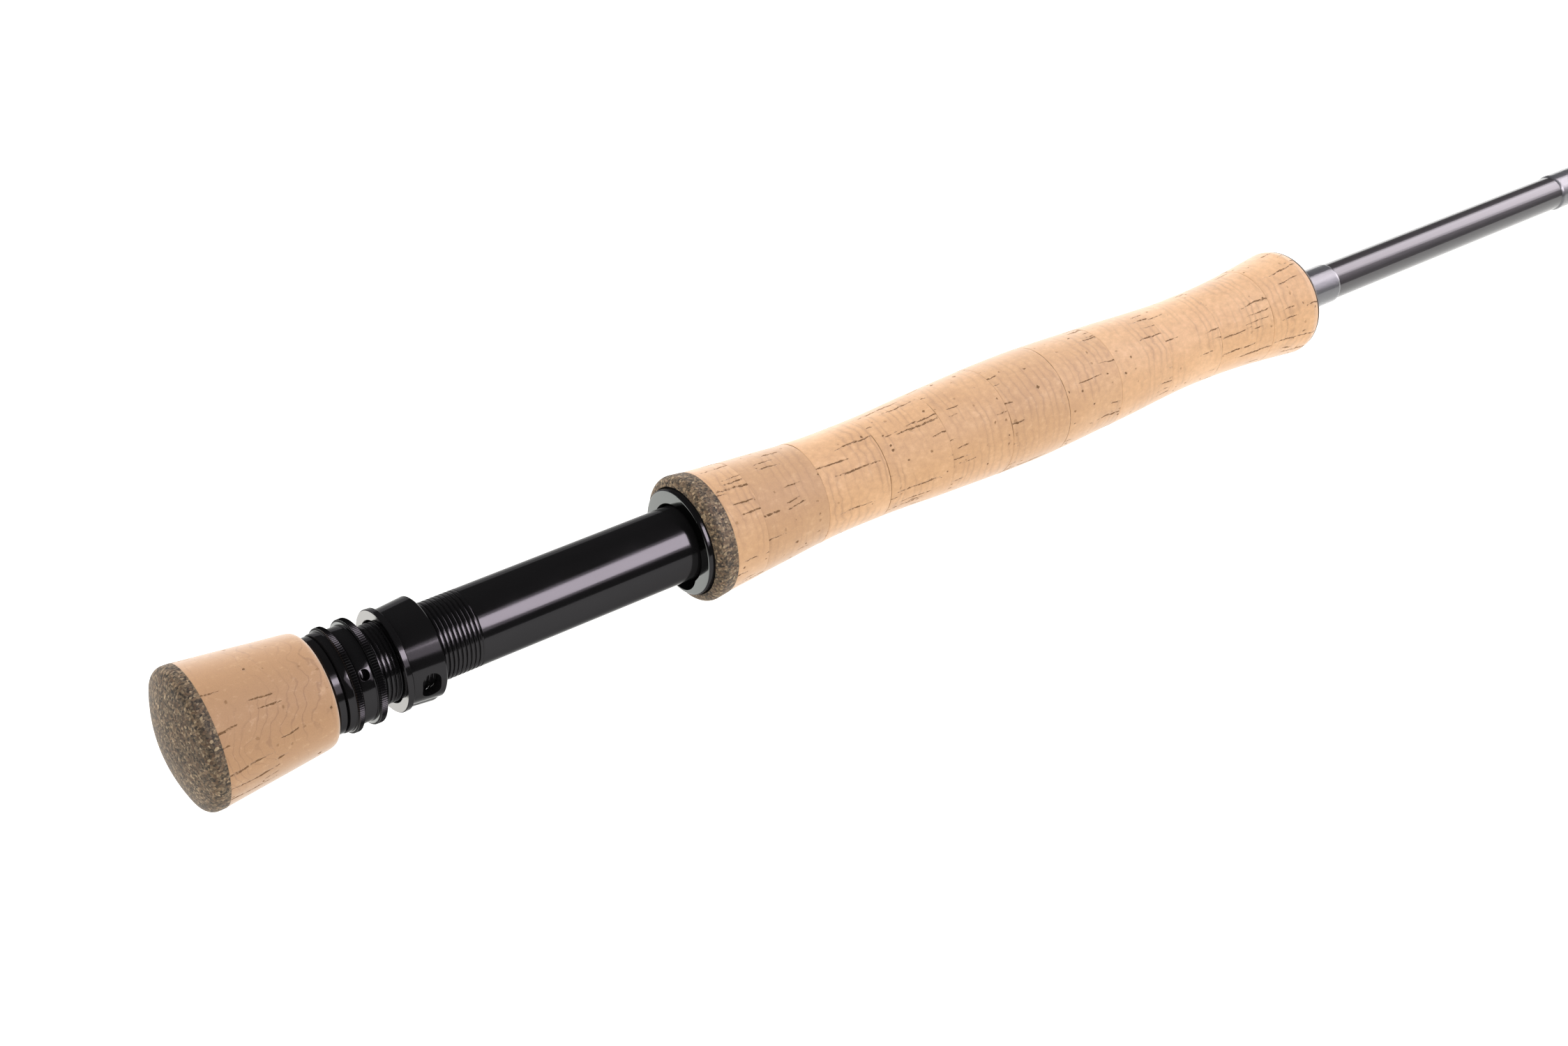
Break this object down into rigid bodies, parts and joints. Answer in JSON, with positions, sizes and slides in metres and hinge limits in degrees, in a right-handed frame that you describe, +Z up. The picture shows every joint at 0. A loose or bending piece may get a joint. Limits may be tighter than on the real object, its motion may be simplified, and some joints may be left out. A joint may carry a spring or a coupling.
{
  "type": "fly rod",
  "caption": "Four-piece fly rod with a cork grip, fighting butt, uplocking reel seat with twin lock rings, and snake guides; sections pull apart.",
  "frame": {"origin": "under the middle of the assembled rod, level with the lowest point of the first stripping guide", "axes": "+X from the butt end to the tip, along the blank; +Z up, away from the reel and the guides, which hang on the -Z side; +Y to the left of someone who looks along +X"},
  "size_m": [3.048, 0.0316, 0.042],
  "materials": {
    "cork": "natural cork, fine sanded",
    "burl_cork": "dark composite cork, sanded",
    "anodised": "black anodised, polished",
    "graphite": "near-black carbon fibre under clear lacquer",
    "thread": "silver-grey thread under clear lacquer",
    "guide_steel": "hard chromed steel wire",
    "ceramic": "polished grey ceramic",
    "rubber": "matt",
    "arbor_foam": "plain rigid foam"
  },
  "bodies": {
    "handle": {"butt_cap": "burl_cork", "fighting_butt": "cork", "seat_end_collar": "anodised", "seat_barrel": "anodised", "rear_arbor": "arbor_foam", "front_arbor": "arbor_foam", "fixed_hood": "anodised", "grip_end_ring": "burl_cork", "cork_ring_01": "cork", "cork_ring_02": "cork", "cork_ring_03": "cork", "cork_ring_04": "cork", "cork_ring_05": "cork", "cork_ring_06": "cork", "cork_ring_07": "cork", "cork_ring_08": "cork", "cork_ring_09": "cork", "cork_ring_10": "cork", "cork_ring_11": "cork", "winding_check": "rubber", "grip_wrap": "thread", "keeper_wrap_rear": "thread", "keeper_wrap_front": "thread", "hook_keeper": "guide_steel", "butt_blank": "graphite"},
    "rear_ring_carriage": {"rear_ring_seal": "rubber"},
    "rear_lock_ring": {"rear_lock_ring": "anodised"},
    "front_ring_carriage": {"front_ring_seal": "rubber"},
    "front_lock_ring": {"front_lock_ring": "anodised"},
    "sliding_hood": {"sliding_hood": "anodised"},
    "section_2": {"ferrule_sleeve_2": "graphite", "ferrule_wrap_2": "thread", "blank_2": "graphite", "stripping_guide_1": "guide_steel", "stripping_ring_1": "ceramic", "stripping_guide_2": "guide_steel", "stripping_ring_2": "ceramic", "snake_guide_1": "guide_steel"},
    "section_3": {"ferrule_sleeve_3": "graphite", "ferrule_wrap_3": "thread", "blank_3": "graphite", "snake_guide_4": "guide_steel", "snake_guide_3": "guide_steel", "snake_guide_2": "guide_steel"},
    "section_4": {"ferrule_sleeve_4": "graphite", "ferrule_wrap_4": "thread", "tip_blank": "graphite", "tip_top": "guide_steel", "snake_guide_9": "guide_steel", "snake_guide_8": "guide_steel", "snake_guide_7": "guide_steel", "snake_guide_6": "guide_steel", "snake_guide_5": "guide_steel"}
  },
  "joints": [
    {"name": "front_ring_spin", "type": "hinge", "parent": "front_ring_carriage", "child": "front_lock_ring", "pos_m": [-1.4808, 0, 0.02624], "axis": [1, 0, 0], "range_deg": [0, 7920]},
    {"name": "front_ring_slide", "type": "slide", "parent": "handle", "child": "front_ring_carriage", "axis": [1, 0, 0], "range_m": [0, 0.02333]},
    {"name": "rear_ring_slide", "type": "slide", "parent": "handle", "child": "rear_ring_carriage", "axis": [1, 0, 0], "range_m": [0, 0.02333]},
    {"name": "rear_ring_spin", "type": "hinge", "parent": "rear_ring_carriage", "child": "rear_lock_ring", "pos_m": [-1.486, 0, 0.02624], "axis": [1, 0, 0], "range_deg": [0, 7920]},
    {"name": "hood_slide", "type": "slide", "parent": "handle", "child": "sliding_hood", "axis": [1, 0, 0], "range_m": [0, 0.02333]},
    {"name": "ferrule_slide_2", "type": "slide", "parent": "handle", "child": "section_2", "axis": [1, 0, 0], "range_m": [0, 0.06]},
    {"name": "ferrule_slide_3", "type": "slide", "parent": "section_2", "child": "section_3", "axis": [1, 0, 0], "range_m": [0, 0.06]},
    {"name": "ferrule_slide_4", "type": "slide", "parent": "section_3", "child": "section_4", "axis": [1, 0, 0], "range_m": [0, 0.06]}
  ],
  "couplings": [
    {"joint": "front_ring_slide", "follows": "front_ring_spin", "m_per_rad": 0.0001687},
    {"joint": "rear_ring_slide", "follows": "front_ring_spin", "m_per_rad": 0.0001687},
    {"joint": "hood_slide", "follows": "front_ring_spin", "m_per_rad": 0.0001687},
    {"joint": "rear_ring_spin", "follows": "front_ring_spin", "ratio": 1}
  ]
}
